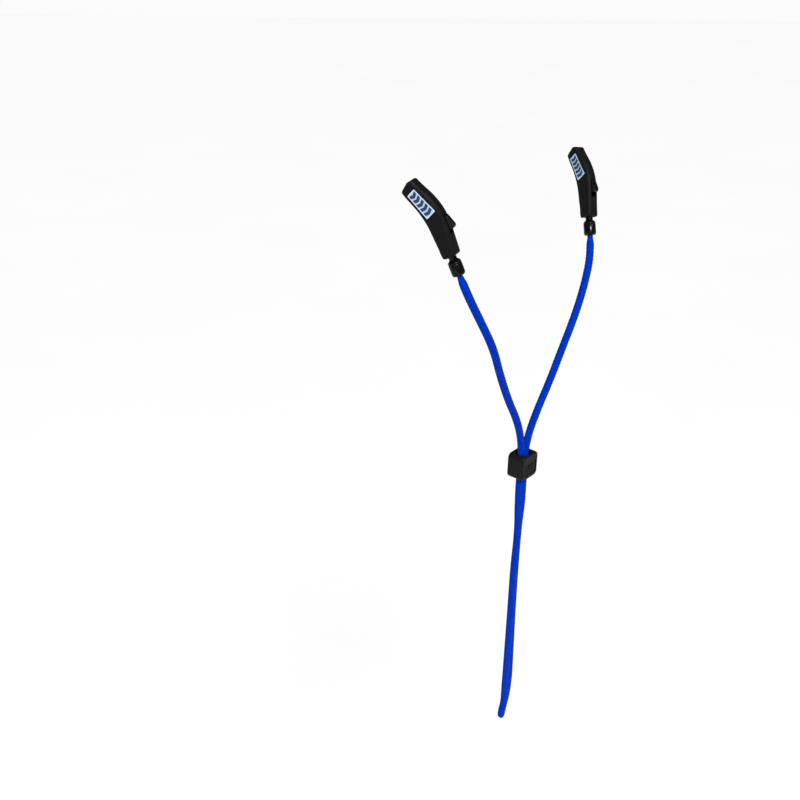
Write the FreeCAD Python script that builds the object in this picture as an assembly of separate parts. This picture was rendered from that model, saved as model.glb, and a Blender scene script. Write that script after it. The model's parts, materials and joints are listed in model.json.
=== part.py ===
"""Adjustable cord eyewear retainer: two temple sleeves, swivels, one braided cord and a slider.

Millimetres, +Z up. +Y is the way the wearer faces and +X is the wearer's right. The origin is
midway between the mouths of the two temple sockets, where the glasses hold the part up.
"""
import FreeCAD
import Part
import math
import os

V = FreeCAD.Vector

# ---- cord ----
CORD_D = 3.6
CORD_GRIP = 3.0             # length of each cord end held inside its barrel
CORD_LEAD = 8.0             # the cord leaves a barrel in line with it over this length
ARC_SHARE = 0.45            # share of the shorter run that a corner's arc may use

# ---- temple sleeves, in a local frame: X back, Z up, Y to the wearer's right ----
SOCKET_HALF_SPACING = 58.1  # from the middle plane to each socket mouth
TOE_IN = 16.5               # the sleeves turn towards each other going back, degrees
LEAN_IN = 7.0               # and lean inwards going down, degrees
UPPER_ANGLE = 42.5          # slope of the socket half below the horizontal, degrees
LOWER_ANGLE = 67.8          # slope of the stem half below the horizontal, degrees
UPPER_LENGTH = 17.3
LOWER_LENGTH = 18.8
MOUTH_HEIGHT = 7.9          # profile height at the socket mouth
MOUTH_DROP = 0.35           # the mouth's section sits this far towards the front of the socket
MOUTH_SETBACK = 1.5         # the mouth's front edge is this much shorter than its back edge
BEND_HEIGHT = 9.9
END_HEIGHT = 7.1
MOUTH_WIDTH = 6.3           # across the flat sides
BEND_WIDTH = 6.2
END_WIDTH = 6.5
SECTION_CORNER = 2.1        # rounding of the long edges
BEND_SPAN = 6.5             # the bend is rounded over this much of each half
MOUTH_RIM_ROUND = 0.6       # rounding round the mouth
END_RIM_ROUND = 0.5         # and round the stem end
MOUTH_FRONT_ROUND = 2.2     # rounding of the profile's four corners
MOUTH_BACK_ROUND = 2.3
END_FRONT_ROUND = 1.7
END_BACK_ROUND = 2.0
LOFT_STEPS = 4              # sections along each straight half
BEND_SHARES = (0.25, 0.5, 0.75)     # and where the bend's own sections stand

SOCKET_RADIUS = 2.2
SOCKET_DEPTH = 14.5
SOCKET_LEAD_IN = 0.25
SOCKET_RIM_REACH = 2.6      # the corners of the socket's rim lie this close to the mouth's mark

# ---- connector: stem through the lower half, tab out of the window, head in the barrel ----
STEM_RADIUS = 1.2
STEM_BORE_RADIUS = 1.25
TAB_START = 1.6             # along the lower half, from the bend
TAB_END = 7.7
TAB_WIDTH = 2.5
TAB_FLUSH = 5.0             # the tab's ramp starts this far out from the centre line
TAB_TIP = 6.8               # and rises to here at its nose
TAB_NOSE = 1.7              # level length behind the ramp
TAB_NOSE_ROUND = 1.4
TAB_EDGE = 0.35
TAB_FOOT = 1.2
WINDOW_GAP = 0.12           # round the tab's sides and top
WINDOW_END = 9.5
WINDOW_FLOOR = 1.4          # below the centre line
COLLAR_RADIUS = 1.75        # the stem's thicker part between the sleeve and the cap
COLLAR_GAP = 0.12
HEAD_RADIUS = 1.75
HEAD_THICKNESS = 1.0

# ---- swivel bead: cap and barrel ----
NECK_LENGTH = 1.5           # bare stem between the sleeve and the cap
BEAD_RADIUS = 2.95
BEAD_LENGTH = 7.3
CAP_LENGTH = 1.7
CAP_TOP_RADIUS = 1.95
CAP_CONE = 1.1              # length of the sloping shoulder
SEAM_DEPTH = 0.18
SEAM_WIDTH = 0.3
CHAMBER_RADIUS = 1.95       # room for the stem's head, at the top of the barrel
CHAMBER_DEPTH = 1.6
MOUTH_ROUND = 0.9           # rounding at the cord end of the barrel, in two bevels
MOUTH_KNEE = 0.26

# ---- label ----
LABEL_START = 4.3           # along the socket half, from the mouth
LABEL_LENGTH = 12.4
LABEL_NARROW = 4.5
LABEL_WIDE = 5.5
LABEL_LEVEL = 3.09          # its face's distance from the sleeve's middle
LABEL_DEPTH = 0.4
LABEL_CORNER = 0.35
MARK_COUNT = 5
MARK_THICKNESS = 0.12
MARK_STROKE = 1.45
MARK_SLANT = 0.7
MARK_MARGIN = 0.6

# ---- slider ----
SLIDER_TOP = -136.6
SLIDER_HEIGHT = 13.4
SLIDER_WIDTH = 13.0
SLIDER_DEPTH = 9.5
SLIDER_CORNER = 2.6
SLIDER_EDGE = 0.9
SLIDER_YAW = 4.0            # turn about the tail, degrees
SLOT_LENGTH = 8.0
SLOT_WIDTH = 6.0
SLOT_CORNER = 2.2
SLOT_LEAD_IN = 0.5
PANEL_HALF = 5.0            # a shallow panel with an arched top on the slider's back face
PANEL_LOW = 2.2
PANEL_SHOULDER = 8.9
PANEL_CROWN = 10.1
PANEL_STEPS = 16            # straight pieces along the arch
PANEL_DEPTH = 0.35
RIB_COUNT = 4
RIB_STROKE = 0.85
RIB_PITCH = 1.9
RIB_RISE = 1.2
RIB_LOW = 3.6
RIB_HIGH = 7.9
RIB_SHY = 0.1               # the ribs stay this far below the face round the panel

# ---- working allowances ----
OVER = 1.0                  # cutters and joined pieces reach this far past what they meet
CLOSE = 1e-3                # for picking edges and faces by where they are

# ---- cord route ----
TAIL_Y = -25.5              # the tail hangs on the middle plane, this far back
# From the left barrel down: the free strand, the pair through the slider, the tail, the fold.
LEFT_STRAND = [
    V(-38.1, -26.15, -58.7), V(-30.06, -27.35, -72.7), V(-23.88, -27.16, -87.7),
    V(-16.22, -26.58, -102.7), V(-6.83, -26.05, -117.7), V(-1.83, -25.76, -132.2),
    V(-1.83, -25.76, -151.5), V(-1.73, -25.95, -166.0), V(-1.37, -26.77, -182.0),
    V(-1.85, -26.14, -205.0), V(-1.79, -26.18, -231.0), V(-1.75, -26.05, -257.0),
    V(-1.68, -25.93, -276.0), V(-1.74, -25.91, -286.0), V(-1.83, -25.97, -292.0),
    V(-2.05, -26.15, -297.0), V(-5.34, -27.25, -301.4), V(-3.81, -26.24, -306.0)]
# The same from the right barrel down.
RIGHT_STRAND = [
    V(38.57, -26.15, -58.7), V(30.91, -27.35, -72.7), V(22.84, -27.16, -87.7),
    V(15.84, -26.58, -102.7), V(7.14, -26.05, -117.7), V(1.83, -25.24, -132.2),
    V(1.83, -25.24, -151.5), V(2.0, -25.33, -166.0), V(1.71, -24.57, -182.0),
    V(1.53, -24.54, -205.0), V(1.61, -24.63, -231.0), V(1.86, -25.06, -257.0),
    V(2.02, -25.4, -276.0), V(1.96, -25.31, -286.0), V(1.78, -24.98, -292.0),
    V(1.67, -24.47, -297.0), V(3.66, -22.65, -301.4), V(1.71, -23.12, -306.0)]


def basis(side):
    """Local axes of a sleeve in the part's frame. side is -1 on the left and +1 on the right."""
    g = math.radians(TOE_IN)
    l = math.radians(LEAN_IN)
    back = V(-side * math.sin(g), -math.cos(g), 0)
    up = V(side * math.sin(l) * math.cos(g), -math.sin(l) * math.sin(g), math.cos(l))
    return back, up.cross(back), up


def place(shape, side):
    """A local shape set down on its side of the part."""
    x, y, z = basis(side)
    m = FreeCAD.Matrix(x.x, y.x, z.x, side * SOCKET_HALF_SPACING, x.y, y.y, z.y, 0,
                       x.z, y.z, z.z, 0, 0, 0, 0, 1)
    out = shape.copy()
    out.Placement = FreeCAD.Placement(m).multiply(shape.Placement)
    return out


def along(degrees):
    """Unit vectors down a half of the sleeve and out of its back, in the local frame."""
    a = math.radians(degrees)
    return V(math.cos(a), 0, -math.sin(a)), V(math.sin(a), 0, math.cos(a))


U1, N1 = along(UPPER_ANGLE)
U2, N2 = along(LOWER_ANGLE)
SIDE = V(0, 1, 0)
BEND = U1 * UPPER_LENGTH
END = BEND + U2 * LOWER_LENGTH
AXIS_TURN = FreeCAD.Rotation(V(0, 0, 1), U2)


def to_part(p, side):
    x, y, z = basis(side)
    return V(side * SOCKET_HALF_SPACING, 0, 0) + x * p.x + y * p.y + z * p.z


def rounded_section(centre, out, height, width, corner):
    """A closed rounded rectangle: height along out, width along the sleeve's flat-to-flat side."""
    h = height / 2 - corner
    w = width / 2 - corner
    k = corner * math.sqrt(0.5)
    edges = []
    quads = [(1, 1), (-1, 1), (-1, -1), (1, -1)]
    ends = []
    for a, b in quads:
        c = centre + out * (a * h) + SIDE * (b * w)
        on_out = c + out * (a * corner)
        on_side = c + SIDE * (b * corner)
        mid = c + out * (a * k) + SIDE * (b * k)
        if a * b > 0:
            ends.append((on_out, mid, on_side))
        else:
            ends.append((on_side, mid, on_out))
    for i, (p, m, q) in enumerate(ends):
        edges.append(Part.Arc(p, m, q).toShape())
        edges.append(Part.LineSegment(q, ends[(i + 1) % 4][0]).toShape())
    return Part.Wire(edges)


def sleeve_stations():
    """Centre, outward direction, height and width of each section from the mouth to the end."""
    out = []
    for i in range(LOFT_STEPS):
        t = i / (LOFT_STEPS - 1)
        d = t * (UPPER_LENGTH - BEND_SPAN)
        s = d / UPPER_LENGTH
        drop = N1 * (MOUTH_DROP * (1 - t))
        out.append((U1 * d - drop, N1, MOUTH_HEIGHT + s * (BEND_HEIGHT - MOUTH_HEIGHT),
                    MOUTH_WIDTH + s * (BEND_WIDTH - MOUTH_WIDTH)))
    a = BEND - U1 * BEND_SPAN
    b = BEND + U2 * BEND_SPAN
    before = 1 - BEND_SPAN / UPPER_LENGTH
    after = BEND_SPAN / LOWER_LENGTH
    h_in = MOUTH_HEIGHT + before * (BEND_HEIGHT - MOUTH_HEIGHT)
    h_out = BEND_HEIGHT + after * (END_HEIGHT - BEND_HEIGHT)
    for t in BEND_SHARES:
        c = a * ((1 - t) ** 2) + BEND * (2 * t * (1 - t)) + b * (t * t)
        d = (BEND - a) * (1 - t) + (b - BEND) * t
        d.normalize()
        h = h_in * (1 - t) ** 2 + BEND_HEIGHT * 2 * t * (1 - t) + h_out * t * t
        out.append((c, V(-d.z, 0, d.x), h, BEND_WIDTH))
    for i in range(LOFT_STEPS):
        t = i / (LOFT_STEPS - 1)
        d = BEND_SPAN + t * (LOWER_LENGTH - BEND_SPAN)
        s = d / LOWER_LENGTH
        out.append((BEND + U2 * d, N2, BEND_HEIGHT + s * (END_HEIGHT - BEND_HEIGHT),
                    BEND_WIDTH + s * (END_WIDTH - BEND_WIDTH)))
    return out


def axis_solid(radius, start, length, origin=BEND, direction=U2):
    return Part.makeCylinder(radius, length, origin + direction * start, direction)


def lower_plate(profile, width):
    """A plate square to the lower half: a profile of (along, out of the back) pairs."""
    corners = [BEND + U2 * s + N2 * n - SIDE * (width / 2) for s, n in profile]
    return Part.Face(Part.makePolygon(corners + corners[:1])).extrude(SIDE * width)


def corner_cutter(corner, one, other, radius):
    """What rounding a profile corner takes off. one and other run along its two sides."""
    half = one.getAngle(other) / 2
    reach = radius / math.tan(half)
    side = SIDE * (BEND_WIDTH + 2 * OVER)
    start = corner - one * OVER - other * OVER - side / 2
    span = reach + OVER
    points = [start, start + one * span, start + one * span + other * span, start + other * span]
    bar = Part.Face(Part.makePolygon(points + points[:1])).extrude(side)
    centre = corner + (one + other).normalize() * (radius / math.sin(half)) - side
    return bar.cut(Part.makeCylinder(radius, 2 * side.Length, centre, SIDE))


def label_prism(low, high):
    """The label's outline as a prism on the sleeve's left side, between two depths."""
    s = LABEL_START
    e = LABEL_START + LABEL_LENGTH
    narrow = LABEL_NARROW / 2
    wide = LABEL_WIDE / 2
    y0 = -LABEL_LEVEL - high
    pts = [U1 * s + N1 * narrow, U1 * e + N1 * wide, U1 * e - N1 * wide, U1 * s - N1 * narrow]
    pts = [p + V(0, y0, 0) for p in pts]
    solid = Part.Face(Part.makePolygon(pts + pts[:1])).extrude(V(0, high - low, 0))
    short = [ed for ed in solid.Edges if abs(ed.Length - (high - low)) < CLOSE]
    return solid.makeFillet(LABEL_CORNER, short)


def upper_edge(d, side):
    """A point of the profile's edge along the socket half: side is 1 at the back, -1 in front."""
    h = MOUTH_HEIGHT + d / UPPER_LENGTH * (BEND_HEIGHT - MOUTH_HEIGHT)
    drop = MOUTH_DROP * (1 - d / (UPPER_LENGTH - BEND_SPAN))
    return U1 * d + N1 * (side * h / 2 - drop)


def make_sleeve():
    wires = [rounded_section(c, n, h, w, SECTION_CORNER) for c, n, h, w in sleeve_stations()]
    body = Part.makeLoft(wires, True, False)
    # The mouth is cut on a slant, from its back edge to its front edge.
    back = upper_edge(0, 1)
    front = upper_edge(MOUTH_SETBACK, -1)
    mouth = (front - back).normalize()
    square = mouth.cross(SIDE)
    side = SIDE * (BEND_WIDTH + 2 * OVER)
    points = [back - mouth * OVER, front + mouth * OVER, front + mouth * OVER - U1 * BEND_SPAN,
              back - mouth * OVER - U1 * BEND_SPAN]
    points = [p - side / 2 for p in points]
    wedge = Part.Face(Part.makePolygon(points + points[:1])).extrude(side)
    reach = UPPER_LENGTH - BEND_SPAN
    back_side = (upper_edge(reach, 1) - back).normalize()
    front_side = (upper_edge(reach, -1) - front).normalize()
    cutters = [wedge, corner_cutter(front, front_side, mouth * -1, MOUTH_FRONT_ROUND),
               corner_cutter(back, back_side, mouth, MOUTH_BACK_ROUND)]
    for edge, radius in ((-1, END_FRONT_ROUND), (1, END_BACK_ROUND)):
        corner = END + N2 * (edge * END_HEIGHT / 2)
        cutters.append(corner_cutter(corner, U2 * -1, N2 * -edge, radius))
    body = body.cut(cutters)
    mouth_rim = [e for e in body.Edges if abs((e.CenterOfMass - back).dot(square)) < CLOSE]
    body = body.makeFillet(MOUTH_RIM_ROUND, mouth_rim)
    end_rim = [e for e in body.Edges if abs((e.CenterOfMass - END).dot(U2)) < CLOSE]
    body = body.makeFillet(END_RIM_ROUND, end_rim)
    socket = Part.makeCylinder(SOCKET_RADIUS, SOCKET_DEPTH + OVER, U1 * -OVER, U1)
    body = body.cut(socket)
    lip = []
    for ed in body.Edges:
        flat = all(abs((v.Point - back).dot(square)) < CLOSE for v in ed.Vertexes)
        if flat and all(v.Point.Length < SOCKET_RIM_REACH for v in ed.Vertexes):
            lip.append(ed)
    body = body.makeChamfer(SOCKET_LEAD_IN, lip)
    bore = axis_solid(STEM_BORE_RADIUS, TAB_END, LOWER_LENGTH - TAB_END + OVER)
    start = TAB_START - WINDOW_GAP
    window = lower_plate([(start, -WINDOW_FLOOR), (WINDOW_END, -WINDOW_FLOOR),
                          (WINDOW_END, BEND_HEIGHT), (start, BEND_HEIGHT)],
                         TAB_WIDTH + 2 * WINDOW_GAP)
    pocket = label_prism(-LABEL_DEPTH, OVER)
    return body.cut([bore, window, pocket])


def make_label():
    return label_prism(-LABEL_DEPTH, 0.0)


def make_marks():
    """A row of slanted chevrons standing a hair above the label."""
    pitch = (LABEL_LENGTH - 2 * MARK_MARGIN) / MARK_COUNT
    solids = []
    y0 = -LABEL_LEVEL - MARK_THICKNESS
    for i in range(MARK_COUNT):
        mid = LABEL_START + MARK_MARGIN + pitch * (i + 0.5)
        share = (mid - LABEL_START) / LABEL_LENGTH
        half = (LABEL_NARROW + share * (LABEL_WIDE - LABEL_NARROW)) / 2 - MARK_MARGIN
        a = mid - (MARK_STROKE + MARK_SLANT) / 2
        line = [(a, half), (a + MARK_STROKE, half), (a + MARK_STROKE + MARK_SLANT, 0),
                (a + MARK_STROKE, -half), (a, -half), (a + MARK_SLANT, 0)]
        pts = [U1 * s + N1 * n + V(0, y0, 0) for s, n in line]
        solids.append(Part.Face(Part.makePolygon(pts + pts[:1])).extrude(V(0, MARK_THICKNESS, 0)))
    return Part.makeCompound(solids)


CAP_START = LOWER_LENGTH + NECK_LENGTH
BARREL_START = CAP_START + CAP_LENGTH
BEAD_END = CAP_START + BEAD_LENGTH
HEAD_START = BARREL_START + (CHAMBER_DEPTH - HEAD_THICKNESS) / 2


def make_connector():
    """A ramped tab that shows in the window, a stem, a collar outside the sleeve, and a head."""
    stem = axis_solid(STEM_RADIUS, TAB_START + OVER, HEAD_START - TAB_START - OVER)
    head = axis_solid(HEAD_RADIUS, HEAD_START, HEAD_THICKNESS)
    collar = axis_solid(COLLAR_RADIUS, LOWER_LENGTH + COLLAR_GAP, NECK_LENGTH - 2 * COLLAR_GAP)
    tab = lower_plate([(TAB_START, -TAB_FOOT), (TAB_END, -TAB_FOOT), (TAB_END, TAB_TIP),
                       (TAB_END - TAB_NOSE, TAB_TIP), (TAB_START, TAB_FLUSH)], TAB_WIDTH)
    nose = [ed for ed in tab.Edges if (ed.CenterOfMass - BEND).dot(N2) > TAB_TIP - CLOSE
            and (ed.CenterOfMass - BEND).dot(U2) > TAB_END - CLOSE]
    tab = tab.makeFillet(TAB_NOSE_ROUND, nose)
    rim = [ed for ed in tab.Edges if (ed.CenterOfMass - BEND).dot(N2) > TAB_FLUSH
           and abs((ed.CenterOfMass - BEND).dot(SIDE)) > TAB_WIDTH / 2 - CLOSE]
    tab = tab.makeFillet(TAB_EDGE, rim)
    return tab.fuse([stem, collar, head]).removeSplitter()


def make_cap():
    """Conical shoulder on a short collar, with a hole in which the stem turns."""
    r = BEAD_RADIUS
    hole = STEM_BORE_RADIUS
    profile = [(hole, 0), (CAP_TOP_RADIUS, 0), (r, CAP_CONE), (r, CAP_LENGTH - SEAM_WIDTH),
               (r - SEAM_DEPTH, CAP_LENGTH - SEAM_WIDTH), (r - SEAM_DEPTH, CAP_LENGTH),
               (hole, CAP_LENGTH)]
    return revolved(profile, CAP_START)


def make_barrel():
    """Barrel with a chamber for the stem's head and a socket that grips the cord."""
    r = BEAD_RADIUS
    length = BEAD_LENGTH - CAP_LENGTH
    grip = length - CORD_GRIP
    profile = [(0, CHAMBER_DEPTH), (CHAMBER_RADIUS, CHAMBER_DEPTH), (CHAMBER_RADIUS, 0), (r, 0),
               (r, length - MOUTH_ROUND), (r - MOUTH_KNEE, length - MOUTH_KNEE),
               (r - MOUTH_ROUND, length), (CORD_D / 2, length), (CORD_D / 2, grip), (0, grip)]
    return revolved(profile, BARREL_START)


def revolved(profile, start):
    """A turned solid: (radius, distance along the axis) pairs, set on the lower half's axis."""
    pts = [V(r, 0, s) for r, s in profile]
    solid = Part.Face(Part.makePolygon(pts + pts[:1])).revolve(V(), V(0, 0, 1), 360)
    solid.Placement = FreeCAD.Placement(BEND + U2 * start, AXIS_TURN)
    return solid


def cord_route():
    """The cord's corner points from the left barrel's socket to the right one's."""
    inside = BEND + U2 * (BEAD_END - CORD_GRIP)
    lead = BEND + U2 * (BEAD_END + CORD_LEAD)
    return ([to_part(inside, -1), to_part(lead, -1)] + LEFT_STRAND
            + list(reversed(RIGHT_STRAND)) + [to_part(lead, 1), to_part(inside, 1)])


def cord_path(points):
    """Straight runs joined by tangent arcs. Returns the wire and each corner's radius."""
    edges = []
    radii = []
    at = points[0]
    for a, p, b in zip(points, points[1:], points[2:]):
        u = (a - p).normalize()
        w = (b - p).normalize()
        half = (math.pi - u.getAngle(w)) / 2
        cut = ARC_SHARE * min(a.distanceToPoint(p), b.distanceToPoint(p))
        r = cut / math.tan(half)
        radii.append(r)
        start = p + u * cut
        end = p + w * cut
        inward = (u + w).normalize()
        mid = p + inward * (r / math.cos(half) - r)
        edges.append(Part.LineSegment(at, start).toShape())
        edges.append(Part.Arc(start, mid, end).toShape())
        at = end
    edges.append(Part.LineSegment(at, points[-1]).toShape())
    return Part.Wire(edges), radii


def make_cord():
    points = cord_route()
    path, radii = cord_path(points)
    runs = [a.distanceToPoint(b) for a, b in zip(points, points[1:])]
    print("cord runs", [round(r, 1) for r in runs])
    print("cord radii", [round(r, 1) for r in radii])
    start = (points[1] - points[0]).normalize()
    ring = Part.Wire([Part.makeCircle(CORD_D / 2, points[0], start)])
    tube = path.makePipeShell([ring], True, False)
    section = math.pi * CORD_D ** 2 / 4
    print("cord length", round(path.Length, 1), "volume", round(tube.Volume, 1),
          "section x length", round(section * path.Length, 1), "valid", tube.isValid())
    return tube


def rounded_prism(length, width, corner, low, high):
    """An upright prism of rounded-rectangle section, its long side along X."""
    box = Part.makeBox(length, width, high - low, V(-length / 2, -width / 2, low))
    upright = [e for e in box.Edges if abs(e.Vertexes[0].Z - e.Vertexes[-1].Z) > CLOSE]
    return box.makeFillet(corner, upright)


def back_plate(points, near, thickness):
    """A plate square to the slider's depth, from (x, z) pairs, starting at depth near."""
    pts = [V(x, near, z) for x, z in points]
    return Part.Face(Part.makePolygon(pts + pts[:1])).extrude(V(0, thickness, 0))


def panel_outline():
    """The panel's corners with an arched top, as (x, z) pairs."""
    rise = PANEL_CROWN - PANEL_SHOULDER
    arch = []
    for i in range(PANEL_STEPS + 1):
        x = PANEL_HALF * (1 - 2 * i / PANEL_STEPS)
        arch.append((x, PANEL_SHOULDER + rise * (1 - (x / PANEL_HALF) ** 2)))
    return [(-PANEL_HALF, PANEL_LOW), (PANEL_HALF, PANEL_LOW)] + arch


def make_slider():
    w = SLIDER_WIDTH
    d = SLIDER_DEPTH
    h = SLIDER_HEIGHT
    block = Part.makeBox(w, d, h, V(-w / 2, -d / 2, 0))
    depthwise = [e for e in block.Edges if abs(e.Vertexes[0].Y - e.Vertexes[-1].Y) > CLOSE]
    block = block.makeFillet(SLIDER_CORNER, depthwise)
    faces = [e for e in block.Edges if abs(abs(e.CenterOfMass.y) - d / 2) < CLOSE]
    block = block.makeFillet(SLIDER_EDGE, faces)
    slot = rounded_prism(SLOT_LENGTH, SLOT_WIDTH, SLOT_CORNER, -OVER, h + OVER)
    panel = back_plate(panel_outline(), -d / 2 - OVER, OVER + PANEL_DEPTH)
    block = block.cut([slot, panel])
    lips = [e for e in block.Edges if min(e.CenterOfMass.z, h - e.CenterOfMass.z) < CLOSE
            and abs(e.CenterOfMass.x) <= SLOT_LENGTH / 2
            and abs(e.CenterOfMass.y) <= SLOT_WIDTH / 2]
    block = block.makeChamfer(SLOT_LEAD_IN, lips)
    ribs = []
    for i in range(RIB_COUNT):
        x0 = (i - (RIB_COUNT - 1) / 2) * RIB_PITCH - (RIB_STROKE + RIB_RISE) / 2
        ribs.append(back_plate([(x0, RIB_LOW), (x0 + RIB_STROKE, RIB_LOW),
                                (x0 + RIB_STROKE + RIB_RISE, RIB_HIGH),
                                (x0 + RIB_RISE, RIB_HIGH)], -d / 2 + RIB_SHY, PANEL_DEPTH))
    solid = block.fuse(ribs).removeSplitter()
    solid.Placement = FreeCAD.Placement(V(0, TAIL_Y, SLIDER_TOP - h),
                                        FreeCAD.Rotation(V(0, 0, 1), SLIDER_YAW))
    return solid


os.makedirs("parts", exist_ok=True)
nodes = {}
LOCAL = {"temple_sleeve": make_sleeve(), "label_patch": make_label(), "label_marks": make_marks(),
         "connector": make_connector(), "swivel_cap": make_cap(), "swivel_barrel": make_barrel()}
for name, shape in LOCAL.items():
    nodes["left_" + name] = place(shape, -1)
    nodes["right_" + name] = place(shape, 1)
nodes["cord"] = make_cord()
nodes["slider"] = make_slider()
for name, shape in nodes.items():
    print(name, round(shape.Volume, 2), "solids", len(shape.Solids), "valid", shape.isValid())
    shape.exportStep("parts/" + name + ".step")
for side, word in ((-1, "left"), (1, "right")):
    x, y, z = basis(side)
    round_from = (MOUTH_SETBACK * (MOUTH_HEIGHT / 2 - MOUTH_DROP + SOCKET_RADIUS) / MOUTH_HEIGHT
                  + SOCKET_LEAD_IN)
    print(word, "socket round over", round(SOCKET_DEPTH - round_from, 2), "middle",
          to_part(U1 * ((SOCKET_DEPTH + round_from) / 2), side), "out of it",
          (x * U1.x + z * U1.z) * -1)
    print(word, "swivel", to_part(BEND + U2 * CAP_START, side), "axis", x * U2.x + z * U2.z)
    print(word, "cord exit", to_part(BEND + U2 * BEAD_END, side))
print("route", [(round(p.x, 2), round(p.y, 2), round(p.z, 2)) for p in cord_route()])
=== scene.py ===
"""Looks of the adjustable cord eyewear retainer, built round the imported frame. Metres, +Z up."""
import math

import bmesh
import bpy
import numpy as np
from mathutils import Matrix, Vector
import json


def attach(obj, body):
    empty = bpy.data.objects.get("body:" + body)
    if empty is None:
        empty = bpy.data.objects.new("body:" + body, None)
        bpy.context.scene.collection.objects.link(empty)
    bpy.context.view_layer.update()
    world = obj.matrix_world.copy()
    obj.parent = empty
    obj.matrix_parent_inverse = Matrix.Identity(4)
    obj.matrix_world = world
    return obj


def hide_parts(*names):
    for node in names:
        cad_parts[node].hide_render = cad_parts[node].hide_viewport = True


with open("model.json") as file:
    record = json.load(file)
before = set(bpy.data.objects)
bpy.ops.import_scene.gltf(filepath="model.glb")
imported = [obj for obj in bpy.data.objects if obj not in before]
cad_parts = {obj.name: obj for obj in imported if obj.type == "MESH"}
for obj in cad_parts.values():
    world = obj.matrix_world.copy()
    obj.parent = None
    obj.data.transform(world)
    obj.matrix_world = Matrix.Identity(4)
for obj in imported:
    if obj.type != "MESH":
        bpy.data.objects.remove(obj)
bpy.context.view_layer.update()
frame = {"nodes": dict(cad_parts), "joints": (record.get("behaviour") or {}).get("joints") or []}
MM = 0.001


def add_object(name, data):
    """A new object that holds the data, in the scene."""
    thing = bpy.data.objects.new(name, data)
    bpy.context.scene.collection.objects.link(thing)
    return thing


# ---- camera ----
CAMERA_AT = Vector((-0.325, -0.267, 0.0785))
CAMERA_YAW = math.radians(44.68)        # from +Y towards +X
CAMERA_DOWN = math.radians(25.10)
CAMERA_ROLL = math.radians(0.50)
CAMERA_LENS = 41.2                      # mm
CAMERA_SENSOR = 36.0                    # mm
CAMERA_NEAR = 0.01
CAMERA_FAR = 20.0


def make_camera():
    forward = Vector((math.sin(CAMERA_YAW) * math.cos(CAMERA_DOWN),
                      math.cos(CAMERA_YAW) * math.cos(CAMERA_DOWN), -math.sin(CAMERA_DOWN)))
    level = Vector((math.cos(CAMERA_YAW), -math.sin(CAMERA_YAW), 0))
    above = level.cross(forward)
    right = level * math.cos(CAMERA_ROLL) + above * math.sin(CAMERA_ROLL)
    up = above * math.cos(CAMERA_ROLL) - level * math.sin(CAMERA_ROLL)
    data = bpy.data.cameras.new("camera")
    data.lens = CAMERA_LENS
    data.sensor_width = CAMERA_SENSOR
    data.clip_start = CAMERA_NEAR
    data.clip_end = CAMERA_FAR
    camera = add_object("camera", data)
    turn = Matrix((right, up, -forward)).transposed()
    camera.matrix_world = Matrix.Translation(CAMERA_AT) @ turn.to_4x4()
    bpy.context.scene.camera = camera


make_camera()


# ---- cord: the same route as the CAD cord's, in metres ----
CORD_D = 0.0036
CORD_GRIP = 0.003                       # held inside each barrel
LINE_STEPS = 48                         # points of the smooth line from one corner to the next
SAME_PLACE = 1e-9                       # points nearer than this are one point
ROUTE = [
    (-0.04781, -0.01995, -0.03421), (-0.04544, -0.02358, -0.04432),
    (-0.0381, -0.02615, -0.0587), (-0.03006, -0.02735, -0.0727),
    (-0.02388, -0.02716, -0.0877), (-0.01622, -0.02658, -0.1027),
    (-0.00683, -0.02605, -0.1177), (-0.00183, -0.02576, -0.1322),
    (-0.00183, -0.02576, -0.1515), (-0.00173, -0.02595, -0.166),
    (-0.00137, -0.02677, -0.182), (-0.00185, -0.02614, -0.205),
    (-0.00179, -0.02618, -0.231), (-0.00175, -0.02605, -0.257),
    (-0.00168, -0.02593, -0.276), (-0.00174, -0.02591, -0.286),
    (-0.00183, -0.02597, -0.292), (-0.00205, -0.02615, -0.297),
    (-0.00534, -0.02725, -0.3014), (-0.00381, -0.02624, -0.306),
    (0.00171, -0.02312, -0.306), (0.00366, -0.02265, -0.3014),
    (0.00167, -0.02447, -0.297), (0.00178, -0.02498, -0.292),
    (0.00196, -0.02531, -0.286), (0.00202, -0.0254, -0.276),
    (0.00186, -0.02506, -0.257), (0.00161, -0.02463, -0.231),
    (0.00153, -0.02454, -0.205), (0.00171, -0.02457, -0.182),
    (0.002, -0.02533, -0.166), (0.00183, -0.02524, -0.1515),
    (0.00183, -0.02524, -0.1322), (0.00714, -0.02605, -0.1177),
    (0.01584, -0.02658, -0.1027), (0.02284, -0.02716, -0.0877),
    (0.03091, -0.02735, -0.0727), (0.03857, -0.02615, -0.0587),
    (0.04544, -0.02358, -0.04432), (0.04781, -0.01995, -0.03421),
]


def route_line(route, name):
    """Points of the smooth line that the route's corners control."""
    data = bpy.data.curves.new(name, "CURVE")
    data.dimensions = "3D"
    data.resolution_u = LINE_STEPS
    spline = data.splines.new("NURBS")
    spline.points.add(len(route) - 1)
    for point, at in zip(spline.points, route):
        point.co = (*at, 1.0)
    spline.order_u = 3
    spline.use_endpoint_u = True
    holder = add_object(name, data)
    bpy.context.view_layer.update()
    evaluated = holder.evaluated_get(bpy.context.evaluated_depsgraph_get())
    mesh = bpy.data.meshes.new_from_object(evaluated)
    line = np.array([v.co for v in mesh.vertices], float).reshape(-1, 3)
    bpy.data.meshes.remove(mesh)
    bpy.data.objects.remove(holder)
    return line


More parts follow.
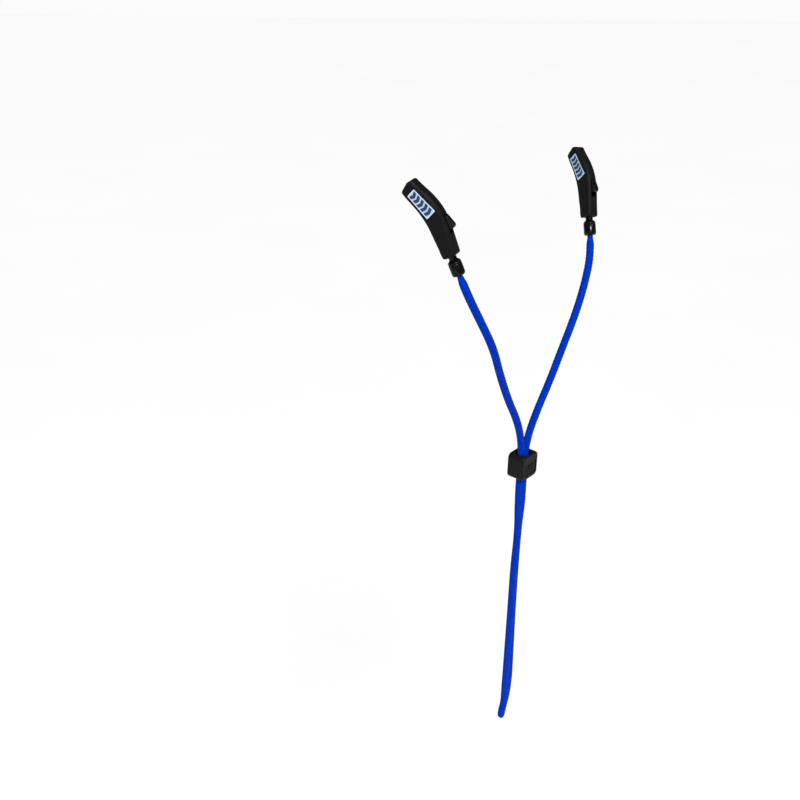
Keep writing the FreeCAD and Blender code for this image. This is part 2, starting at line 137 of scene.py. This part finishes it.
def spaced(line, count):
    """The line again with evenly spaced points, and its length so far at each of them."""
    step = np.linalg.norm(np.diff(line, axis=0), axis=1)
    keep = np.concatenate([[True], step > SAME_PLACE])
    line = line[keep]
    run = np.concatenate([[0], np.cumsum(np.linalg.norm(np.diff(line, axis=0), axis=1))])
    at = np.linspace(0, run[-1], count)
    return np.stack([np.interp(at, run, line[:, k]) for k in range(3)], axis=1), at


def untwisted_frames(line):
    """Two unit cross directions at each point, carried along without twist."""
    tangent = np.gradient(line, axis=0)
    tangent /= np.linalg.norm(tangent, axis=1)[:, None]
    first = np.cross(tangent[0], [0.0, 1.0, 0.0])
    across = np.zeros_like(line)
    across[0] = first / np.linalg.norm(first)
    for i in range(1, len(line)):
        a = across[i - 1] - tangent[i] * (across[i - 1] @ tangent[i])
        across[i] = a / np.linalg.norm(a)
    return across, np.cross(tangent, across)


BRAID_RINGS = 2040
BRAID_SIDES = 48
BRAID_HALF = 8                          # carriers that turn each way
BRAID_STEP = 1.75 * MM                  # along the cord while a yarn passes one neighbour
BRAID_FLOAT = 2                         # yarns that each yarn goes over, then under
BRAID_RELIEF = 0.17 * MM
RELIEF_INSIDE = 0.55                    # share of the relief that lies under the cord's surface
YARN_LOW = 0.55                         # a yarn's height where it dives, as a share of its crown
YARN_CROWN_POWER = 0.6
YARN_ROUNDNESS = 0.96
CELL_NUDGE = 1e-6                       # keeps a vertex off the line between two yarns
WOBBLE = 0.010                          # slow change of the cord's radius, as a share
WOBBLE_POINTS = 90
WOBBLE_SEED = 7
MOUTH_SQUEEZE = 0.70                    # share of the cord's radius left inside a barrel
SQUEEZE_FADE = 5.0 * MM


def smooth_step(x):
    x = np.clip(x, 0, 1)
    return x * x * (3 - 2 * x)


def braid_height(u, v):
    """Relief from 0 to 1 of a two-over-two-under braid. u and v count yarns each way."""
    i = np.floor(u)
    j = np.floor(v)
    over = np.mod(i + j, 2 * BRAID_FLOAT) < BRAID_FLOAT
    across = np.where(over, u - i, v - j) - 0.5
    float_at = np.where(over, np.mod(i + v, 2 * BRAID_FLOAT) - BRAID_FLOAT / 2,
                        np.mod(u + j, 2 * BRAID_FLOAT) - 3 * BRAID_FLOAT / 2)
    crown = np.cos(np.clip(float_at, -1, 1) * math.pi / 2)
    round_yarn = np.sqrt(np.clip(1 - (2 * across) ** 2 * YARN_ROUNDNESS, 0, 1))
    rise = np.clip(crown, 0, 1) ** YARN_CROWN_POWER
    return round_yarn * (YARN_LOW + (1 - YARN_LOW) * rise)


def braided_surface(centre, at):
    """One ring of points round each point of the centre line, with the yarns' relief."""
    across, other = untwisted_frames(centre)
    length = at[-1]
    from_end = np.minimum(at, length - at)
    squeeze = MOUTH_SQUEEZE + (1 - MOUTH_SQUEEZE) * smooth_step(
        (from_end - CORD_GRIP) / SQUEEZE_FADE)
    turn = np.arange(BRAID_SIDES) / BRAID_SIDES
    u = BRAID_HALF * turn[None, :] + at[:, None] / BRAID_STEP
    v = BRAID_HALF * turn[None, :] - at[:, None] / BRAID_STEP
    relief = braid_height(u + CELL_NUDGE, v + CELL_NUDGE)
    rng = np.random.default_rng(WOBBLE_SEED)
    slow = np.interp(at, np.linspace(0, length, WOBBLE_POINTS),
                     rng.normal(0, WOBBLE, WOBBLE_POINTS))
    radius = (CORD_D / 2 * (1 + slow)[:, None] - BRAID_RELIEF * RELIEF_INSIDE
              + BRAID_RELIEF * relief)
    radius = radius * squeeze[:, None]
    angle = 2 * math.pi * turn
    return (centre[:, None, :]
            + radius[..., None] * (np.cos(angle)[None, :, None] * across[:, None, :]
                                   + np.sin(angle)[None, :, None] * other[:, None, :]))


def tube_mesh(name, points, length):
    """A closed tube over the rings. Its UVs count turns round it, and braid steps along it."""
    rings, sides = points.shape[:2]
    k = np.arange(rings - 1)[:, None]
    s = np.arange(sides)[None, :]
    n = (s + 1) % sides
    quads = np.stack([k * sides + s, k * sides + n, (k + 1) * sides + n, (k + 1) * sides + s], -1)
    mesh = bpy.data.meshes.new(name)
    verts = points.reshape(-1, 3)
    faces = quads.reshape(-1, 4).tolist()
    faces.append(list(range(sides))[::-1])
    faces.append([(rings - 1) * sides + i for i in range(sides)])
    mesh.from_pydata(verts.tolist(), [], faces)
    lay = mesh.uv_layers.new(name="lay")
    corner_u = np.stack([s + 0 * k, s + 1 + 0 * k, s + 1 + 0 * k, s + 0 * k], -1) / sides
    corner_v = np.stack([k + 0 * s, k + 0 * s, k + 1 + 0 * s, k + 1 + 0 * s], -1)
    corner_v = corner_v * (length / (rings - 1)) / BRAID_STEP
    uv = np.zeros((len(mesh.loops), 2), np.float32)
    uv[:corner_u.size, 0] = corner_u.reshape(-1)
    uv[:corner_u.size, 1] = corner_v.reshape(-1)
    lay.data.foreach_set("uv", uv.ravel())
    mesh.shade_smooth()
    mesh.update()
    return mesh


def make_cord():
    centre, at = spaced(route_line(ROUTE, "cord_line"), BRAID_RINGS)
    mesh = tube_mesh("braided_cord", braided_surface(centre, at), at[-1])
    return add_object("braided_cord", mesh), centre


cord, cord_centre = make_cord()
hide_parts("cord")
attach(cord, "cord_and_barrels")


# ---- node materials ----
class Nodes:
    """A small writer for one material's node tree."""

    def __init__(self, name):
        self.material = bpy.data.materials.new(name)
        self.material.use_nodes = True
        self.tree = self.material.node_tree
        self.shader = self.tree.nodes["Principled BSDF"]

    def add(self, kind, **settings):
        node = self.tree.nodes.new("ShaderNode" + kind)
        for key, value in settings.items():
            setattr(node, key, value)
        return node

    def put(self, socket, value):
        if isinstance(value, bpy.types.NodeSocket):
            self.tree.links.new(value, socket)
        else:
            socket.default_value = value

    def math(self, operation, a, b=None):
        node = self.add("Math", operation=operation)
        self.put(node.inputs[0], a)
        if b is not None:
            self.put(node.inputs[1], b)
        return node.outputs[0]

    def noise(self, vector, scale, detail=3.0, roughness=0.55):
        node = self.add("TexNoise")
        self.put(node.inputs["Vector"], vector)
        node.inputs["Scale"].default_value = scale
        node.inputs["Detail"].default_value = detail
        node.inputs["Roughness"].default_value = roughness
        return node.outputs["Fac"]

    def span(self, value, low, high, out_low=0.0, out_high=1.0):
        node = self.add("MapRange", clamp=True)
        self.put(node.inputs["Value"], value)
        for key, number in zip(("From Min", "From Max", "To Min", "To Max"),
                               (low, high, out_low, out_high)):
            node.inputs[key].default_value = number
        return node.outputs["Result"]

    def mix(self, share, a, b):
        node = self.add("Mix", data_type="RGBA")
        self.put(node.inputs[0], share)
        self.put(node.inputs[6], a)
        self.put(node.inputs[7], b)
        return node.outputs[2]

    def bump(self, height, distance, strength):
        node = self.add("Bump")
        node.inputs["Strength"].default_value = strength
        node.inputs["Distance"].default_value = distance
        self.put(node.inputs["Height"], height)
        return node.outputs["Normal"]

    def set(self, **values):
        for key, value in values.items():
            self.put(self.shader.inputs[key.replace("_", " ")], value)
        return self.material


def grey(x, blue=1.0):
    return (x, x, x * blue, 1.0)


YARN_DARK = (0.000, 0.009, 0.25, 1)
YARN_PALE = (0.000, 0.018, 0.36, 1)
# painted highlight: a lighter blue laid on the yarns' fibre streaks
YARN_PAINTED_HIGHLIGHT = (0.001, 0.050, 0.52, 1)
# painted shade: a dark blue for the grooves between the yarns, where shade falls
YARN_GROOVE_SHADE = (0.0, 0.003, 0.09, 1)
YARN_GLINT = (0.05, 0.40, 1.0, 1)
YARN_BUMP = 0.06 * MM
YARN_SPECULAR = 0.05
YARN_ROUGHNESS = (0.46, 0.66)
GROOVE_SHADE_SPAN = (0.30, 0.50)              # where the painted shade between yarns begins and is full: distance from a yarn's middle, as a share of its width
GROOVE_SHADE_SHARE = 0.75
FIBRE_SCALE = 1.6
STRAND_SHIFT = 31.0                     # tells the yarns of one hand from those of the other
FIBRE_STRETCH = (7.0, 0.8, 3.7)         # across a yarn, along it, and from yarn to yarn


def cord_material():
    n = Nodes("cord_blue")
    uv = n.add("UVMap", uv_map="lay").outputs["UV"]
    split = n.add("SeparateXYZ")
    n.put(split.inputs[0], uv)
    round_it = n.math("MULTIPLY", split.outputs[0], float(BRAID_HALF))
    u = n.math("ADD", round_it, split.outputs[1])
    v = n.math("SUBTRACT", round_it, split.outputs[1])
    i = n.math("FLOOR", u)
    j = n.math("FLOOR", v)
    over = n.math("LESS_THAN", n.math("FLOORED_MODULO", n.math("ADD", i, j), 2.0 * BRAID_FLOAT),
                  float(BRAID_FLOAT))
    fu = n.math("SUBTRACT", u, i)
    fv = n.math("SUBTRACT", v, j)

    def choose(a, b):
        low = n.math("MULTIPLY", n.math("SUBTRACT", 1.0, over), b)
        return n.math("ADD", n.math("MULTIPLY", over, a), low)

    across = choose(fu, fv)
    along = choose(v, u)
    strand = choose(i, n.math("ADD", j, STRAND_SHIFT))
    edge = n.math("ABSOLUTE", n.math("SUBTRACT", across, 0.5))
    groove_shade = n.span(edge, *GROOVE_SHADE_SPAN)
    fibre_at = n.add("CombineXYZ")
    for socket, value, stretch in zip(fibre_at.inputs, (across, along, strand), FIBRE_STRETCH):
        n.put(socket, n.math("MULTIPLY", value, stretch))
    fibre = n.noise(fibre_at.outputs[0], FIBRE_SCALE, 4.0, 0.6)
    pick = n.add("TexWhiteNoise", noise_dimensions="1D")
    n.put(pick.inputs["W"], strand)
    yarn = n.mix(pick.outputs["Value"], YARN_DARK, YARN_PALE)
    # painted highlight: the fibre streaks turn to the lighter highlight blue
    yarn_with_painted_highlight = n.mix(n.span(fibre, 0.35, 0.75), yarn, YARN_PAINTED_HIGHLIGHT)
    # painted shade: each yarn darkens towards its edges, into the grooves between the yarns
    colour = n.mix(n.math("MULTIPLY", groove_shade, GROOVE_SHADE_SHARE), yarn_with_painted_highlight, YARN_GROOVE_SHADE)
    normal = n.bump(fibre, YARN_BUMP, 0.6)
    rough = n.span(fibre, 0.2, 0.8, *YARN_ROUGHNESS)
    n.shader.inputs["Specular IOR Level"].default_value = YARN_SPECULAR
    n.shader.inputs["Specular Tint"].default_value = YARN_GLINT
    return n.set(Base_Color=colour, Roughness=rough, Normal=normal)


# Noise scales are in cells per metre.
CLOUD_SCALE = 160.0
DUST_SCALE = 5200.0
DUST_SHARE = 0.25
RUBBER_SPECULAR = 0.10
RUBBER_GRAIN = 0.06 * MM


def rubber_material(name, base, rough, grain_scale, grain_depth):
    n = Nodes(name)
    place = n.add("TexCoord").outputs["Object"]
    grain = n.noise(place, grain_scale, 5.0, 0.65)
    cloud = n.noise(place, CLOUD_SCALE, 3.0)
    dust = n.span(n.noise(place, DUST_SCALE, 2.0), 0.62, 0.80)
    tone = n.mix(n.span(cloud, 0.3, 0.7), grey(base * 0.75, 1.1), grey(base * 1.3, 1.12))
    colour = n.mix(n.math("MULTIPLY", dust, DUST_SHARE), tone, grey(base * 4.0, 1.1))
    roughness = n.span(grain, 0.25, 0.75, rough - 0.07, rough + 0.08)
    n.shader.inputs["Specular IOR Level"].default_value = RUBBER_SPECULAR
    return n.set(Base_Color=colour, Roughness=roughness, Normal=n.bump(grain, grain_depth, 0.5))


GLOSS_TONES = (0.0015, 0.0032)
GLOSS_BUMP = 0.01 * MM
GLOSS_SPECULAR = 0.16
GLOSS_ROUGHNESS = (0.14, 0.24)
FLOW_SCALE = 260.0
SCUFF_SCALE = 2600.0


def gloss_material():
    n = Nodes("gloss_black")
    place = n.add("TexCoord").outputs["Object"]
    flow = n.noise(place, FLOW_SCALE, 2.0)
    fine = n.noise(place, SCUFF_SCALE, 3.0)
    colour = n.mix(n.span(flow, 0.3, 0.7), *map(grey, GLOSS_TONES))
    n.shader.inputs["Specular IOR Level"].default_value = GLOSS_SPECULAR
    return n.set(Base_Color=colour, Roughness=n.span(fine, 0.3, 0.7, *GLOSS_ROUGHNESS),
                 Normal=n.bump(flow, GLOSS_BUMP, 0.3))


MOTTLE_SCALE = 900.0
LABEL_GRAIN_SCALE = 5200.0
LABEL_BUMP = 0.03 * MM


def label_material(name, colour, darker, rough):
    n = Nodes(name)
    place = n.add("TexCoord").outputs["Object"]
    mottle = n.noise(place, MOTTLE_SCALE, 4.0)
    fine = n.noise(place, LABEL_GRAIN_SCALE, 2.0)
    tone = n.mix(n.span(mottle, 0.3, 0.7), darker, colour)
    return n.set(Base_Color=tone, Roughness=n.span(fine, 0.2, 0.8, rough - 0.06, rough + 0.08),
                 Normal=n.bump(fine, LABEL_BUMP, 0.4))


def finish_with(piece, material):
    piece.data.materials.clear()
    piece.data.materials.append(material)


sleeve_rubber = rubber_material("sleeve_rubber", 0.0036, 0.58, 2400.0, RUBBER_GRAIN)
slider_rubber = rubber_material("slider_rubber", 0.0052, 0.48, 1900.0, RUBBER_GRAIN)
gloss_black = gloss_material()
label_blue = label_material("label_blue", (0.40, 0.56, 0.80, 1), (0.34, 0.50, 0.75, 1), 0.42)
label_pale = label_material("label_pale", (0.56, 0.70, 0.88, 1), (0.50, 0.65, 0.85, 1), 0.42)
label_navy = label_material("label_navy", (0.008, 0.020, 0.062, 1), (0.005, 0.014, 0.045, 1), 0.38)
finish_with(cord, cord_material())

SKINS = {"temple_sleeve": sleeve_rubber, "label_patch": label_blue, "label_marks": label_navy,
         "connector": gloss_black}
for side in ("left_", "right_"):
    for word, skin in SKINS.items():
        finish_with(frame["nodes"][side + word], skin)
finish_with(frame["nodes"]["slider"], slider_rubber)


# ---- swivel beads ----
# Turned profiles: (radius, distance down the swivel's axis), in millimetres.
CAP_PROFILE = [(1.25, 1.70), (1.25, 0.12), (1.33, 0.02), (1.84, 0.00), (1.96, 0.08),
               (2.10, 0.22), (2.66, 0.78), (2.80, 0.94), (2.91, 1.12), (2.95, 1.26),
               (2.95, 1.34), (2.91, 1.42), (2.78, 1.46), (2.78, 1.70), (1.25, 1.70)]
BARREL_PROFILE = [(1.95, 3.26), (1.95, 1.71), (2.74, 1.71), (2.88, 1.74), (2.95, 1.84),
                  (2.95, 5.90), (2.94, 6.20), (2.88, 6.50), (2.76, 6.78), (2.58, 7.00),
                  (2.34, 7.16), (2.06, 7.26), (1.76, 7.30), (1.52, 7.28), (1.38, 7.18),
                  (1.32, 7.02), (1.30, 6.80), (1.30, 4.35), (0.0, 4.35), (0.0, 3.26),
                  (1.95, 3.26)]
TURNED_SIDES = 80
TURNED_SHARP = math.radians(40)         # edges sharper than this stay crisp
MERGE = 1e-7


def turned_piece(name, profile, joint):
    """A piece turned about a swivel's axis, from the joint's own place and direction."""
    axis = Vector(joint["axis"]).normalized()
    place = Matrix.Translation(Vector(joint["pos_m"])) @ axis.to_track_quat("Z", "Y").to_matrix(
        ).to_4x4()
    verts = []
    for r, d in profile[:-1]:
        for k in range(TURNED_SIDES):
            a = 2 * math.pi * k / TURNED_SIDES
            verts.append(place @ Vector((r * MM * math.cos(a), r * MM * math.sin(a), d * MM)))
    rows = len(profile) - 1
    faces = []
    for i in range(rows):
        for k in range(TURNED_SIDES):
            n = (k + 1) % TURNED_SIDES
            j = (i + 1) % rows
            faces.append((i * TURNED_SIDES + k, j * TURNED_SIDES + k, j * TURNED_SIDES + n,
                          i * TURNED_SIDES + n))
    mesh = bpy.data.meshes.new(name)
    mesh.from_pydata(verts, [], faces)
    merged = bmesh.new()
    merged.from_mesh(mesh)
    bmesh.ops.remove_doubles(merged, verts=merged.verts, dist=MERGE)
    bmesh.ops.recalc_face_normals(merged, faces=merged.faces)
    merged.to_mesh(mesh)
    merged.free()
    mesh.shade_smooth()
    mesh.set_sharp_from_angle(angle=TURNED_SHARP)
    piece = add_object(name, mesh)
    finish_with(piece, gloss_black)
    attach(piece, "cord_and_barrels")
    return piece


beads = []
for side in ("left", "right"):
    joint = next(j for j in frame["joints"] if j["name"] == side + "_swivel")
    cap = turned_piece(side + "_bead_cap", CAP_PROFILE, joint)
    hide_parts(side + "_swivel_cap")
    barrel = turned_piece(side + "_bead_barrel", BARREL_PROFILE, joint)
    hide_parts(side + "_swivel_barrel")
    beads += [cap, barrel]


# ---- label borders ----
BORDER_WIDTH = 0.42 * MM
BORDER_HEIGHT = 0.05 * MM
BORDER_EDGE = 0.02 * MM                 # how far in the rounded edge first turns
BORDER_CREST = 0.07 * MM                # and where it reaches its full height
BORDER_SHOULDER = 0.7                   # share of the height at the first turn
BORDER_SHARP = math.radians(50)
FACE_BAND = 1e-5                        # vertices this near the top belong to the patch's face


def hull(points):
    """The convex outline of 2D points, in order."""
    points = sorted(set(map(tuple, np.round(points, 7))))

    def half(run):
        out = []
        for p in run:
            while len(out) > 1 and np.cross(np.subtract(out[-1], out[-2]),
                                            np.subtract(p, out[-1])) <= 1e-12:
                out.pop()
            out.append(p)
        return out[:-1]

    return np.array(half(points) + half(points[::-1]))


def make_border(side):
    patch = frame["nodes"][side + "_label_patch"]
    co = np.array([v.co for v in patch.data.vertices], float).reshape(-1, 3)
    middle = co.mean(axis=0)
    _, axes = np.linalg.eigh(np.cov((co - middle).T))
    out = axes[:, 0] * (-1 if axes[0, 0] > 0 else 1)
    along = axes[:, 2]
    across = np.cross(out, along)
    level = ((co - middle) @ out).max()
    top = co[(co - middle) @ out > level - FACE_BAND]
    flat = np.stack([(top - middle) @ along, (top - middle) @ across], axis=1)
    edge = hull(flat)
    centre = (edge.max(axis=0) + edge.min(axis=0)) / 2
    size = edge.max(axis=0) - edge.min(axis=0)

    def loop(inset, height):
        scaled = centre + (edge - centre) * (1 - 2 * inset / size)
        return [Vector(middle + along * p[0] + across * p[1] + out * (level + height))
                for p in scaled]

    rings = [loop(0.0, -BORDER_HEIGHT), loop(BORDER_EDGE, BORDER_HEIGHT * BORDER_SHOULDER),
             loop(BORDER_CREST, BORDER_HEIGHT), loop(BORDER_WIDTH - BORDER_CREST, BORDER_HEIGHT),
             loop(BORDER_WIDTH - BORDER_EDGE, BORDER_HEIGHT * BORDER_SHOULDER),
             loop(BORDER_WIDTH, -BORDER_HEIGHT)]
    count = len(edge)
    verts = [p for ring in rings for p in ring]
    faces = []
    for i in range(len(rings)):
        j = (i + 1) % len(rings)
        for k in range(count):
            n = (k + 1) % count
            faces.append((i * count + k, i * count + n, j * count + n, j * count + k))
    mesh = bpy.data.meshes.new(side + "_label_border")
    mesh.from_pydata(verts, [], faces)
    mesh.shade_smooth()
    mesh.set_sharp_from_angle(angle=BORDER_SHARP)
    piece = add_object(side + "_label_border", mesh)
    finish_with(piece, label_pale)
    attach(piece, side + "_sleeve_set")


make_border("left")
make_border("right")


# ---- floor and light ----
FLOOR_Z = -0.85
FLOOR_HALF = 30.0
FLOOR_TONES = (0.93, 0.96)
FLOOR_ROUGHNESS = 0.85
BACKGROUND = 0.97                       # how bright the surroundings look
FILL = 0.15                             # and how much light they give
WHITE = (1.0, 1.0, 1.0, 1)
LIGHTS_AIM = (0, 0, -0.12)
KEY_FROM = (-0.57, -0.87, 0.90)
KEY_STRENGTH = 4.1
KEY_SPREAD = math.radians(14)
FRONT_FROM = (-0.85, -0.35, 0.30)
FRONT_SIZE = (0.05, 0.25)
FRONT_WATTS = 0.5
BACK_FROM = (0.15, -0.62, 0.75)
BACK_SIZE = 0.16
BACK_WATTS = 0.9


def make_floor():
    mesh = bpy.data.meshes.new("floor")
    h = FLOOR_HALF
    mesh.from_pydata([(-h, -h, FLOOR_Z), (h, -h, FLOOR_Z), (h, h, FLOOR_Z), (-h, h, FLOOR_Z)],
                     [], [(0, 1, 2, 3)])
    floor = add_object("floor", mesh)
    n = Nodes("floor_pale")
    place = n.add("TexCoord").outputs["Object"]
    tone = n.mix(n.noise(place, 2.0, 2.0), *map(grey, FLOOR_TONES))
    finish_with(floor, n.set(Base_Color=tone, Roughness=FLOOR_ROUGHNESS))


def link_light(data, at, target):
    light = add_object(data.name, data)
    light.location = at
    light.rotation_mode = "QUATERNION"
    light.rotation_quaternion = (Vector(target) - Vector(at)).to_track_quat("-Z", "Y")


def light_scene():
    world = bpy.data.worlds.new("studio")
    bpy.context.scene.world = world
    world.use_nodes = True
    tree = world.node_tree
    fill = tree.nodes["Background"]
    fill.inputs["Color"].default_value = WHITE
    fill.inputs["Strength"].default_value = FILL
    seen = tree.nodes.new("ShaderNodeBackground")
    seen.inputs["Color"].default_value = WHITE
    seen.inputs["Strength"].default_value = BACKGROUND
    path = tree.nodes.new("ShaderNodeLightPath")
    mix = tree.nodes.new("ShaderNodeMixShader")
    tree.links.new(path.outputs["Is Camera Ray"], mix.inputs[0])
    tree.links.new(fill.outputs[0], mix.inputs[1])
    tree.links.new(seen.outputs[0], mix.inputs[2])
    tree.links.new(mix.outputs[0], tree.nodes["World Output"].inputs["Surface"])
    sun = bpy.data.lights.new("key", "SUN")
    sun.energy = KEY_STRENGTH
    sun.angle = KEY_SPREAD
    link_light(sun, KEY_FROM, LIGHTS_AIM)
    soft = bpy.data.lights.new("front", "AREA")
    soft.shape = "RECTANGLE"
    soft.size, soft.size_y = FRONT_SIZE
    soft.energy = FRONT_WATTS
    link_light(soft, FRONT_FROM, LIGHTS_AIM)
    back = bpy.data.lights.new("back", "AREA")
    back.shape = "DISK"
    back.size = BACK_SIZE
    back.energy = BACK_WATTS
    link_light(back, BACK_FROM, LIGHTS_AIM)
    bpy.context.scene.view_settings.view_transform = "Standard"


make_floor()
light_scene()
